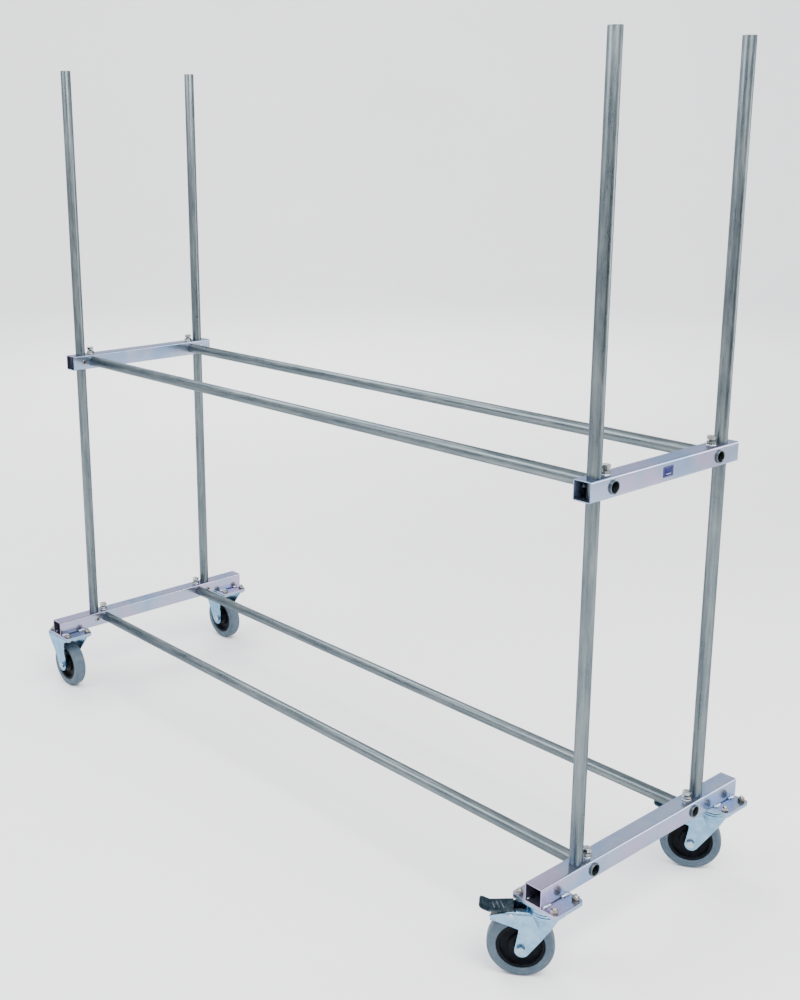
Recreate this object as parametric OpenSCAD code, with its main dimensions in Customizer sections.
// Tyre storage rack on casters: two end frames of square tube carry four tyre rails on two tiers.
// Four tall uprights guide the upper tier, which can be reset in height.
// Millimetres, +Z up. The origin is on the floor under the middle of the rack.
// The near end, with the swivel casters, is at +X. The front is at -Y.

/* [Tubes] */
// Outside diameter of rails and uprights
tube_d = 25.4; // [24:0.1:27]
// Wall of the round tubes
tube_wall = 2; // [1.2:0.1:3]
// Side of the square end beams
beam = 38; // [38:0.5:42]
// Wall of the square end beams
beam_wall = 2; // [1.5:0.1:2.5]

/* [Tiers] */
// Length of the four tyre rails
rail_len = 1750; // [1000:10:2400]
// How far the rail ends stand out past the end beams
rail_proud = 3.5; // [0:0.5:30]
// Centre distance between the two rails of a tier
rail_gap = 320; // [240:5:400]
// Centre distance from a rail to the upright beside it
upright_step = 31; // [30:1:60]
// Height of the upper rails above the lower rails
tier_rise = 733; // [500:1:1200]
// Length of an upright
upright_len = 1500; // [1300:10:2000]
// Length of an upper beam past the upright centre
upper_end = 31.5; // [22:0.5:60]
// Length of a lower beam past the upright centre
lower_end = 119; // [112:1:200]

/* [Casters] */
// Diameter of the caster wheels
wheel_d = 125; // [120:0.5:126]
// Tread width of the caster wheels
wheel_w = 30; // [26:1:32]
// Height of a caster from the floor to the top of its plate
caster_h = 156; // [155.5:0.5:157]
// Distance from the end of the lower beam to the caster centre
caster_inset = 41; // [41:0.5:50]
// Angle the front swivel caster is turned to
yaw_front = 220; // [0:1:359]
// Angle the rear swivel caster is turned to
yaw_rear = 214; // [0:1:359]

/* [Hidden] */
$fn = 64;

// clearances
grip_gap = 0.05;
slide_gap = 0.08;
pin_gap = 0.06;
set_gap = 0.02;
back_off = 0.3;

// frame
beam_corner = 3;
end_x = rail_len / 2 - rail_proud - beam / 2;
rail_y = rail_gap / 2;
upright_y = rail_y + upright_step;
upper_len = 2 * (upright_y + upper_end);
lower_len = 2 * (upright_y + lower_end);
pad_t = 5;
lower_z = caster_h + pad_t + beam / 2;
upper_z = lower_z + tier_rise;
upright_foot = lower_z - beam / 2 + beam_wall;
caster_y = lower_len / 2 - caster_inset;

// set bolts over the rails
weld_nut_af = 17;
weld_nut_h = 8;
set_thread = 3;
set_head_af = 16;
set_head_h = 7;
set_r = 5;

// rivet nuts and grub screws beside the uprights
rivet_flange_r = 7.5;
rivet_flange_t = 1.5;
rivet_body_r = 5.5;
rivet_tail = 1.8;
grub_r = 4;
grub_len = 7;
grub_socket_af = 4;
grub_socket_deep = 4;

// label on the outer face of the near upper beam
label_w = 30;
label_h = 20;
label_t = 0.6;
label_y = -2;

// caster plates and their bolts
plate_x = 105;
plate_y = 80;
plate_t = 3;
plate_corner = 9;
bolt_x = 80;
bolt_y = 60;
bolt_r = 4;
bolt_hole_r = 4.5;
bolt_af = 13;
bolt_head_h = 5.3;
bolt_nut_h = 6.5;
bolt_proud = 4;
bead_r = 4.5;
bead_len = 15;
bead_at = 26;
plate_under = caster_h - plate_t;

// wheels
wheel_r = wheel_d / 2;
core_r = wheel_r - 17.5;
core_gap = 0.02;
core_half = wheel_w / 2 - 1.5;
rim_in_r = core_r - 6;
web_half = 5;
step_r = 22;
step_half = 12;
hub_r = 12;
hub_half = 20;
tyre_edge = 4;
tyre_seat = 6;
sleeve_r = 7.5;

// axles
axle_r = 5;
axle_af = 15;
axle_head_h = 6.4;
axle_nut_h = 8;
axle_proud = 2;

// swivel head
king_r = 6;
king_head_r = 11;
king_head_h = 5;
king_short = 0.2;
crown_r = 36;
crown_z = plate_under - 16;
race_r = 28;
ball_r = 3;
balls = 18;
ball_z = crown_z + 5;
upper_race_in = 21;
upper_race_out = 35;
upper_race_z = ball_z + 1.2;
lower_race_in = 22;
lower_race_out = 34;
lower_race_h = 3.8;

// fork
sheet = 3;
fork_half = 23.4;
fork_bend = 8;
trail = 45;
boss_r = 13.5;
boss_off = 2.5;
flare_z = 95;
flare_edge = 0.4;
fork_open_u = 36;
fork_open_half = 14.4;
fork_wide_u = 55;
fork_wide_half = fork_half - sheet - 0.2;

// brake
pivot_u = 64;
pivot_z = crown_z - 7;
pivot_r = 3;
pivot_head_r = 4.5;
pivot_head_t = 1.5;
barrel_r = 4.8;
barrel_half = 13.5;
pedal_half = 19.5;
pedal_in = pivot_u - 4;
pedal_t = 2.5;
pedal_root_z = pivot_z + 6.3;
crease_u = 104;
crease_z = pivot_z + 1;
arm_rise = (pedal_root_z - crease_z) / (crease_u - pedal_in);
toe_tilt = 20;
toe_len = 20;
toe_corner = 9;
ear_half = 3;
press = 11.3;
shoe_half = 11;
shoe_gap = 0.4;
shoe_t = 3;
shoe_from = 38;
shoe_to = 66;
shoe_pad_in = pivot_u + 7;
shoe_pad_out = 94;
shoe_root = 4;
shoe_low = pivot_z - 8;

// fixed caster bracket
leg_half = 23.4;
leg_top_half = plate_y / 2;
leg_fold = plate_under - 6;
leg_knee = 88;
leg_bend = 3.5;
leg_slope = atan((leg_top_half - leg_half) / (leg_fold - leg_knee));
leg_shift = sheet * tan(leg_slope / 2);
fixed_out = 10;
lobe_r = 19.5;
lobe_out = 16.5;

// colours
zinc = [0.72, 0.75, 0.80];
galvanised = [0.56, 0.60, 0.60];
blue_zinc = [0.70, 0.80, 0.88];
passivate = [0.74, 0.73, 0.66];
dark_zinc = [0.45, 0.48, 0.52];
ball_steel = [0.80, 0.81, 0.83];
grey_rubber = [0.40, 0.44, 0.50];
black_plastic = [0.08, 0.08, 0.09];
brake_grey = [0.30, 0.31, 0.33];
label_blue = [0.10, 0.18, 0.42];

// ---------- shared shapes ----------

// rectangle with round corners, centred
module rounded(w, d, r) {
    square([w, d - 2 * r], center = true);
    square([w - 2 * r, d], center = true);
    for (sx = [-1, 1], sy = [-1, 1])
        translate([sx * (w / 2 - r), sy * (d / 2 - r)])
            circle(r = r);
}

// round tube standing on z = 0
module tube(length) {
    difference() {
        cylinder(d = tube_d, h = length);
        translate([0, 0, -1])
            cylinder(d = tube_d - 2 * tube_wall, h = length + 2);
    }
}

// hexagon with its top corners turned off, standing on z = 0
module hexagon(af, h) {
    intersection() {
        cylinder(d = af / cos(30), h = h, $fn = 6);
        cylinder(r1 = af / 2 + 1.7 * h, r2 = af / 2 - 0.2, h = h);
    }
}

// hexagon nut standing on z = 0
module hex_nut(af, h, bore_r) {
    difference() {
        hexagon(af, h);
        translate([0, 0, -1])
            cylinder(r = bore_r, h = h + 2);
    }
}

// ---------- end beams ----------

module end_beam(side, z, length, through) {
    difference() {
        translate([side * end_x, 0, z])
            rotate([90, 0, 0])
                linear_extrude(height = length, center = true)
                    difference() {
                        rounded(beam, beam, beam_corner);
                        rounded(beam - 2 * beam_wall, beam - 2 * beam_wall, beam_corner - beam_wall);
                    }
        for (s = [-1, 1]) {
            translate([side * end_x, s * rail_y, z])
                rotate([0, 90, 0])
                    cylinder(r = tube_d / 2 + grip_gap, h = 2 * beam, center = true);
            translate([side * end_x, s * rail_y, z])
                cylinder(r = set_r + grip_gap, h = beam);
            translate([side * (end_x - beam / 2), s * upright_y, z])
                rotate([0, 90, 0])
                    cylinder(r = rivet_body_r + grip_gap, h = 4 * beam_wall, center = true);
            if (through)
                translate([side * end_x, s * upright_y, z])
                    cylinder(r = tube_d / 2 + slide_gap, h = 2 * beam, center = true);
            else
                translate([side * end_x, s * upright_y, z])
                    cylinder(r = tube_d / 2 + grip_gap, h = beam);
        }
    }
}

module beam_lower_near() color(zinc) end_beam(1, lower_z, lower_len, false);
module beam_lower_far() color(zinc) end_beam(-1, lower_z, lower_len, false);
module beam_upper_near() color(zinc) end_beam(1, upper_z, upper_len, true);
module beam_upper_far() color(zinc) end_beam(-1, upper_z, upper_len, true);

// ---------- uprights and rails ----------

module upright(side, s)
    color(galvanised)
        translate([side * end_x, s * upright_y, upright_foot])
            tube(upright_len);

module upright_near_front() upright(1, -1);
module upright_near_rear() upright(1, 1);
module upright_far_front() upright(-1, -1);
module upright_far_rear() upright(-1, 1);

module rail(s, z)
    color(galvanised)
        translate([-rail_len / 2, s * rail_y, z])
            rotate([0, 90, 0])
                tube(rail_len);

module rail_lower_front() rail(-1, lower_z);
module rail_lower_rear() rail(1, lower_z);
module rail_upper_front() rail(-1, upper_z);
module rail_upper_rear() rail(1, upper_z);

// ---------- clamping hardware ----------

// the four places on top of a tier's beams, over the rails
module over_rails(z)
    for (side = [-1, 1], s = [-1, 1])
        translate([side * end_x, s * rail_y, z + beam / 2])
            children();

// the four places on the inner faces of a tier's beams, beside the uprights; +z points out of the beam
module beside_uprights(z)
    for (side = [-1, 1], s = [-1, 1])
        translate([side * (end_x - beam / 2), s * upright_y, z])
            rotate([0, -90 * side, 0])
                children();

module set_bolt() {
    tip = (tube_d - beam) / 2 + set_gap;
    under_head = weld_nut_h + set_thread;
    translate([0, 0, tip])
        cylinder(r = set_r - grip_gap, h = under_head + 1 - tip);
    translate([0, 0, under_head])
        hexagon(set_head_af, set_head_h);
}

module rivet_nut() {
    difference() {
        union() {
            cylinder(r = rivet_flange_r, h = rivet_flange_t);
            translate([0, 0, -beam_wall - rivet_tail])
                cylinder(r = rivet_body_r, h = beam_wall + rivet_tail + 1);
        }
        translate([0, 0, -beam])
            cylinder(r = grub_r, h = 2 * beam);
    }
}

module grub_screw(tip_gap) {
    translate([0, 0, (tube_d - beam) / 2 + tip_gap])
        difference() {
            cylinder(r = grub_r - grip_gap, h = grub_len);
            translate([0, 0, grub_len - grub_socket_deep])
                cylinder(d = grub_socket_af / cos(30), h = grub_len, $fn = 6);
        }
}

module set_bolts_lower() color(passivate) over_rails(lower_z) set_bolt();
module set_bolts_upper() color(passivate) over_rails(upper_z) set_bolt();
module weld_nuts_lower() color(passivate) over_rails(lower_z) hex_nut(weld_nut_af, weld_nut_h, set_r);
module weld_nuts_upper() color(passivate) over_rails(upper_z) hex_nut(weld_nut_af, weld_nut_h, set_r);
module rivet_nuts_lower() color(passivate) beside_uprights(lower_z) rivet_nut();
module rivet_nuts_upper() color(passivate) beside_uprights(upper_z) rivet_nut();
module grub_screws_lower() color(dark_zinc) beside_uprights(lower_z) grub_screw(set_gap);
module grub_screws_upper() color(dark_zinc) beside_uprights(upper_z) grub_screw(back_off);

module label_plate()
    color(label_blue)
        translate([end_x + beam / 2, label_y, upper_z])
            rotate([90, 0, 90])
                linear_extrude(height = label_t)
                    rounded(label_w, label_h, 2);

// ---------- caster mounting ----------

module bolt_places()
    for (sx = [-1, 1], sy = [-1, 1])
        translate([sx * bolt_x / 2, sy * bolt_y / 2, 0])
            children();

// plate with four bolt holes, standing on z = 0
module drilled_plate(t) {
    difference() {
        linear_extrude(height = t)
            rounded(plate_x, plate_y, plate_corner);
        translate([0, 0, -1])
            bolt_places()
                cylinder(r = bolt_hole_r, h = t + 2);
    }
}

// short fillet weld lying along Y in the corner of x = 0 and z = 0
module bead() {
    intersection() {
        union() {
            rotate([90, 0, 0])
                cylinder(r = bead_r, h = bead_len, center = true);
            for (s = [-1, 1])
                translate([0, s * bead_len / 2, 0])
                    sphere(r = bead_r);
        }
        translate([0, -bead_len, 0])
            cube([2 * bead_r, 2 * bead_len, 2 * bead_r]);
    }
}

module mount_plates(side)
    color(zinc)
        for (s = [-1, 1])
            translate([side * end_x, s * caster_y, caster_h]) {
                drilled_plate(pad_t);
                for (face = [0, 180], t = [-1, 1])
                    rotate([0, 0, face])
                        translate([beam / 2, t * bead_at, pad_t])
                            bead();
            }

module mount_plates_near() mount_plates(1);
module mount_plates_far() mount_plates(-1);

module at_casters()
    for (side = [-1, 1], s = [-1, 1])
        translate([side * end_x, s * caster_y, 0])
            children();

module plate_bolt() {
    translate([0, 0, plate_under])
        cylinder(r = bolt_r - grip_gap, h = plate_t + pad_t + bolt_nut_h + bolt_proud);
    translate([0, 0, plate_under])
        mirror([0, 0, 1])
            hexagon(bolt_af, bolt_head_h);
}

module plate_bolts() color(passivate) at_casters() bolt_places() plate_bolt();
module plate_nuts()
    color(passivate)
        at_casters()
            bolt_places()
                translate([0, 0, caster_h + pad_t])
                    hex_nut(bolt_af, bolt_nut_h, bolt_r);

// ---------- wheels and axles ----------

// points local +z along the axle
module along_axle(u, z)
    translate([u, 0, z])
        rotate([-90, 0, 0])
            children();

module wheel_core_shape() {
    rotate_extrude()
        polygon([
            [sleeve_r + slide_gap, -hub_half], [hub_r, -hub_half], [hub_r, -step_half],
            [step_r, -step_half], [step_r, -web_half], [rim_in_r, -web_half],
            [rim_in_r, -core_half], [core_r - core_gap, -core_half],
            [core_r - core_gap, core_half], [rim_in_r, core_half],
            [rim_in_r, web_half], [step_r, web_half], [step_r, step_half],
            [hub_r, step_half], [hub_r, hub_half], [sleeve_r + slide_gap, hub_half]
        ]);
}

module tyre_shape() {
    rotate_extrude() {
        translate([(core_r + wheel_r) / 2, 0])
            rounded(wheel_r - core_r, wheel_w, tyre_edge);
        translate([core_r, -wheel_w / 2])
            square([tyre_seat, wheel_w]);
    }
}

module axle_bolt_shape() {
    translate([0, 0, -fork_half - axle_nut_h - axle_proud])
        cylinder(r = axle_r - grip_gap, h = 2 * fork_half + axle_nut_h + axle_proud + 1);
    translate([0, 0, fork_half])
        hexagon(axle_af, axle_head_h);
}

module axle_nut_shape()
    translate([0, 0, -fork_half])
        mirror([0, 0, 1])
            hex_nut(axle_af, axle_nut_h, axle_r);

module axle_sleeve_shape() {
    half = fork_half - sheet - slide_gap;
    translate([0, 0, -half])
        difference() {
            cylinder(r = sleeve_r, h = 2 * half);
            translate([0, 0, -1])
                cylinder(r = axle_r, h = 2 * half + 2);
        }
}

// ---------- swivel casters ----------

module at_swivel(s)
    translate([end_x, s * caster_y, 0])
        children();

module turned(s)
    at_swivel(s)
        rotate([0, 0, s < 0 ? yaw_front : yaw_rear])
            children();

module swivel_plate(s)
    color(blue_zinc)
        at_swivel(s)
            difference() {
                union() {
                    translate([0, 0, plate_under])
                        drilled_plate(plate_t);
                    rotate_extrude()
                        difference() {
                            translate([upper_race_in, upper_race_z])
                                square([upper_race_out - upper_race_in, plate_under - upper_race_z]);
                            translate([race_r, ball_z])
                                circle(r = ball_r + grip_gap);
                        }
                }
                translate([0, 0, crown_z])
                    cylinder(r = king_r + set_gap, h = crown_z);
            }

module race_balls(s)
    color(ball_steel)
        at_swivel(s)
            for (i = [0 : balls - 1])
                rotate([0, 0, i * 360 / balls])
                    translate([race_r, 0, ball_z])
                        sphere(r = ball_r, $fn = 24);

module kingpin(s)
    color(zinc)
        at_swivel(s) {
            head_top = crown_z - sheet - back_off;
            translate([0, 0, head_top - king_head_h])
                cylinder(r = king_head_r, h = king_head_h);
            translate([0, 0, head_top - 1])
                cylinder(r = king_r, h = caster_h - king_short - head_top + 1);
        }

// the sheet seen from the side: u along the trail, z up
module fork_side() {
    boss_u = trail - boss_off;
    boss_z = wheel_r - boss_off;
    polygon([
        [-26, crown_z], [-20, crown_z - 6], [-9, 110], [7.5, 84.5],
        [boss_u - 0.8 * boss_r, boss_z - 0.6 * boss_r],
        [boss_u, boss_z],
        [boss_u + 0.984 * boss_r, boss_z + 0.18 * boss_r],
        [50, 96], [50, 103], [64, 107.5], [99, 118], [103, 126.5],
        [64, crown_z - 0.5], [25, crown_z]
    ]);
    translate([boss_u, boss_z])
        circle(r = boss_r);
}

// the sheet seen along the trail, grown inwards by t
module fork_section(t) {
    height = crown_z - t;
    translate([-crown_r, 0, 0])
        rotate([90, 0, 90])
            linear_extrude(height = 4 * crown_r)
                translate([0, height / 2])
                    rounded(2 * (fork_half - t), height, fork_bend - t);
}

// the cheeks flare out to the round crown, grown inwards by t
module fork_flare(t, top) {
    rotate_extrude()
        polygon([
            [0, flare_z], [fork_half - flare_edge - t, flare_z],
            [crown_r - flare_edge - t, top], [0, top]
        ]);
}

module fork_shape() {
    difference() {
        union() {
            intersection() {
                rotate([90, 0, 0])
                    linear_extrude(height = 2 * crown_r + 2, center = true)
                        fork_side();
                union() {
                    fork_section(0);
                    fork_flare(0, crown_z - 1);
                }
            }
            translate([0, 0, crown_z - sheet])
                cylinder(r = crown_r, h = sheet);
            rotate_extrude()
                difference() {
                    translate([lower_race_in, crown_z - 1])
                        square([lower_race_out - lower_race_in, lower_race_h + 1]);
                    translate([race_r, ball_z])
                        circle(r = ball_r + back_off);
                }
        }
        fork_section(sheet);
        fork_flare(sheet, crown_z - sheet);
        translate([0, 0, crown_z - 2 * sheet])
            cylinder(r = king_r + slide_gap, h = 4 * sheet);
        translate([fork_open_u, -fork_open_half, crown_z - fork_bend])
            cube([2 * crown_r, 2 * fork_open_half, 2 * fork_bend]);
        translate([fork_wide_u, -fork_wide_half, crown_z - fork_bend])
            cube([2 * crown_r, 2 * fork_wide_half, 2 * fork_bend]);
        along_axle(trail, wheel_r)
            cylinder(r = axle_r, h = 4 * fork_half, center = true);
        along_axle(pivot_u, pivot_z)
            cylinder(r = pivot_r + set_gap, h = 4 * fork_half, center = true);
    }
}

// height of the pedal arm's underside
function arm_z(u) = crease_z + (crease_u - u) * arm_rise;

// the pedal sheet seen from the side: an arm that falls outwards and a toe bent up from it
module pedal_side() {
    lip_u = crease_u + toe_len * cos(toe_tilt);
    lip_z = crease_z + toe_len * sin(toe_tilt);
    polygon([
        [pedal_in, pedal_root_z], [crease_u, crease_z], [lip_u, lip_z],
        [lip_u - pedal_t * sin(toe_tilt), lip_z + pedal_t * cos(toe_tilt)],
        [crease_u, crease_z + pedal_t], [pedal_in, pedal_root_z + pedal_t]
    ]);
}

module brake_pedal_shape() {
    reach = crease_u + toe_len * cos(toe_tilt) - pedal_in;
    difference() {
        union() {
            intersection() {
                rotate([90, 0, 0])
                    linear_extrude(height = 2 * pedal_half + 2, center = true)
                        pedal_side();
                translate([pedal_in + reach / 2 - toe_corner, 0, pivot_z - reach / 2])
                    linear_extrude(height = reach)
                        rounded(reach + 2 * toe_corner, 2 * pedal_half, toe_corner);
            }
            along_axle(pivot_u, pivot_z)
                cylinder(r = barrel_r, h = 2 * barrel_half, center = true);
            translate([pivot_u - ear_half, -barrel_half, pivot_z])
                cube([2 * ear_half, 2 * barrel_half, pedal_root_z + pedal_t / 2 - pivot_z]);
        }
        along_axle(pivot_u, pivot_z)
            cylinder(r = pivot_r + pin_gap, h = 4 * pedal_half, center = true);
    }
}

// folded leaf: a pad under the pedal and a curved face that meets the tread when the pedal is down
module brake_shoe_shape() {
    rotate([90, 0, 0])
        linear_extrude(height = 2 * shoe_half, center = true) {
            polygon([
                [shoe_pad_in, arm_z(shoe_pad_in)], [shoe_pad_in, shoe_low],
                [shoe_pad_in + shoe_root, shoe_low],
                [shoe_pad_in + shoe_root, arm_z(shoe_pad_in + shoe_root) - shoe_t],
                [shoe_pad_out, arm_z(shoe_pad_out) - shoe_t], [shoe_pad_out, arm_z(shoe_pad_out)]
            ]);
            translate([pivot_u, pivot_z])
                rotate(press)
                    translate([trail - pivot_u, wheel_r - pivot_z])
                        intersection() {
                            difference() {
                                circle(r = wheel_r + shoe_gap + shoe_t, $fn = 180);
                                circle(r = wheel_r + shoe_gap, $fn = 180);
                            }
                            polygon([
                                [0, 0],
                                [2 * wheel_r * cos(shoe_from), 2 * wheel_r * sin(shoe_from)],
                                [2 * wheel_r * cos(shoe_to), 2 * wheel_r * sin(shoe_to)]
                            ]);
                        }
        }
}

module pedal_pin_shape()
    along_axle(pivot_u, pivot_z) {
        cylinder(r = pivot_r, h = 2 * (fork_half + pivot_head_t), center = true);
        for (m = [0, 1])
            mirror([0, 0, m])
                translate([0, 0, fork_half])
                    cylinder(r = pivot_head_r, h = pivot_head_t);
    }

module swivel_plate_front() swivel_plate(-1);
module swivel_plate_rear() swivel_plate(1);
module race_balls_front() race_balls(-1);
module race_balls_rear() race_balls(1);
module kingpin_front() kingpin(-1);
module kingpin_rear() kingpin(1);
module fork_front() color(blue_zinc) turned(-1) fork_shape();
module fork_rear() color(blue_zinc) turned(1) fork_shape();
module axle_bolt_front() color(zinc) turned(-1) along_axle(trail, wheel_r) axle_bolt_shape();
module axle_bolt_rear() color(zinc) turned(1) along_axle(trail, wheel_r) axle_bolt_shape();
module axle_nut_front() color(zinc) turned(-1) along_axle(trail, wheel_r) axle_nut_shape();
module axle_nut_rear() color(zinc) turned(1) along_axle(trail, wheel_r) axle_nut_shape();
module axle_sleeve_front() color(zinc) turned(-1) along_axle(trail, wheel_r) axle_sleeve_shape();
module axle_sleeve_rear() color(zinc) turned(1) along_axle(trail, wheel_r) axle_sleeve_shape();
module wheel_core_front() color(black_plastic) turned(-1) along_axle(trail, wheel_r) wheel_core_shape();
module wheel_core_rear() color(black_plastic) turned(1) along_axle(trail, wheel_r) wheel_core_shape();
module tyre_front() color(grey_rubber) turned(-1) along_axle(trail, wheel_r) tyre_shape();
module tyre_rear() color(grey_rubber) turned(1) along_axle(trail, wheel_r) tyre_shape();
module brake_pedal_front() color(dark_zinc) turned(-1) brake_pedal_shape();
module brake_pedal_rear() color(dark_zinc) turned(1) brake_pedal_shape();
module brake_shoe_front() color(brake_grey) turned(-1) brake_shoe_shape();
module brake_shoe_rear() color(brake_grey) turned(1) brake_shoe_shape();
module pedal_pin_front() color(zinc) turned(-1) pedal_pin_shape();
module pedal_pin_rear() color(zinc) turned(1) pedal_pin_shape();

// ---------- fixed casters ----------

// local +x points out of the rack at the far end
module at_fixed(s)
    translate([-end_x, s * caster_y, 0])
        rotate([0, 0, 180])
            children();

// outline of the bent sheet seen along the roll direction, grown inwards by t
module leg_outline(t) {
    half = leg_half - t;
    top_half = leg_top_half - t;
    shift = t > 0 ? leg_shift : 0;
    intersection() {
        polygon([
            [-half, 0], [half, 0], [half, leg_knee + shift], [top_half, leg_fold + shift],
            [top_half, caster_h - t], [-top_half, caster_h - t],
            [-top_half, leg_fold + shift], [-half, leg_knee + shift]
        ]);
        rounded(2 * top_half, 2 * (caster_h - t), leg_bend - t);
    }
}

// outline of a leg seen from the side, measured outwards from the plate centre
module leg_side() {
    polygon([
        [-48, caster_h], [-44, plate_under - 3], [-29, plate_under - 10], [-20, plate_under - 25],
        [lobe_out - lobe_r, 96], [lobe_out - lobe_r, wheel_r], [lobe_out, wheel_r],
        [lobe_out + 0.94 * lobe_r, wheel_r - 0.34 * lobe_r], [50, 90], [plate_x / 2, caster_h]
    ]);
    translate([lobe_out, wheel_r])
        circle(r = lobe_r);
}

module fixed_bracket(s)
    color(blue_zinc)
        at_fixed(s)
            difference() {
                intersection() {
                    translate([-plate_x / 2, 0, 0])
                        rotate([90, 0, 90])
                            linear_extrude(height = plate_x)
                                difference() {
                                    leg_outline(0);
                                    leg_outline(sheet);
                                }
                    union() {
                        rotate([90, 0, 0])
                            linear_extrude(height = plate_y + 2, center = true)
                                leg_side();
                        translate([0, 0, plate_under - 0.5])
                            linear_extrude(height = 2 * plate_t)
                                rounded(plate_x, plate_y, plate_corner);
                    }
                }
                translate([0, 0, plate_under - 1])
                    bolt_places()
                        cylinder(r = bolt_hole_r, h = plate_t + 2);
                along_axle(fixed_out, wheel_r)
                    cylinder(r = axle_r, h = 2 * plate_y, center = true);
            }

module far_axles()
    for (s = [-1, 1])
        at_fixed(s)
            along_axle(fixed_out, wheel_r)
                children();

module fixed_bracket_front() fixed_bracket(-1);
module fixed_bracket_rear() fixed_bracket(1);
module wheel_core_far_front() color(black_plastic) at_fixed(-1) along_axle(fixed_out, wheel_r) wheel_core_shape();
module wheel_core_far_rear() color(black_plastic) at_fixed(1) along_axle(fixed_out, wheel_r) wheel_core_shape();
module tyre_far_front() color(grey_rubber) at_fixed(-1) along_axle(fixed_out, wheel_r) tyre_shape();
module tyre_far_rear() color(grey_rubber) at_fixed(1) along_axle(fixed_out, wheel_r) tyre_shape();
module far_axle_bolts() color(zinc) far_axles() axle_bolt_shape();
module far_axle_nuts() color(zinc) far_axles() axle_nut_shape();
module far_axle_sleeves() color(zinc) far_axles() axle_sleeve_shape();

// ---------- the rack ----------

beam_lower_near();
beam_lower_far();
beam_upper_near();
beam_upper_far();
upright_near_front();
upright_near_rear();
upright_far_front();
upright_far_rear();
rail_lower_front();
rail_lower_rear();
rail_upper_front();
rail_upper_rear();
set_bolts_lower();
set_bolts_upper();
weld_nuts_lower();
weld_nuts_upper();
rivet_nuts_lower();
rivet_nuts_upper();
grub_screws_lower();
grub_screws_upper();
label_plate();
mount_plates_near();
mount_plates_far();
plate_bolts();
plate_nuts();
swivel_plate_front();
race_balls_front();
kingpin_front();
fork_front();
axle_bolt_front();
axle_nut_front();
axle_sleeve_front();
wheel_core_front();
tyre_front();
brake_pedal_front();
brake_shoe_front();
pedal_pin_front();
swivel_plate_rear();
race_balls_rear();
kingpin_rear();
fork_rear();
axle_bolt_rear();
axle_nut_rear();
axle_sleeve_rear();
wheel_core_rear();
tyre_rear();
brake_pedal_rear();
brake_shoe_rear();
pedal_pin_rear();
fixed_bracket_front();
fixed_bracket_rear();
wheel_core_far_front();
wheel_core_far_rear();
tyre_far_front();
tyre_far_rear();
far_axle_bolts();
far_axle_nuts();
far_axle_sleeves();
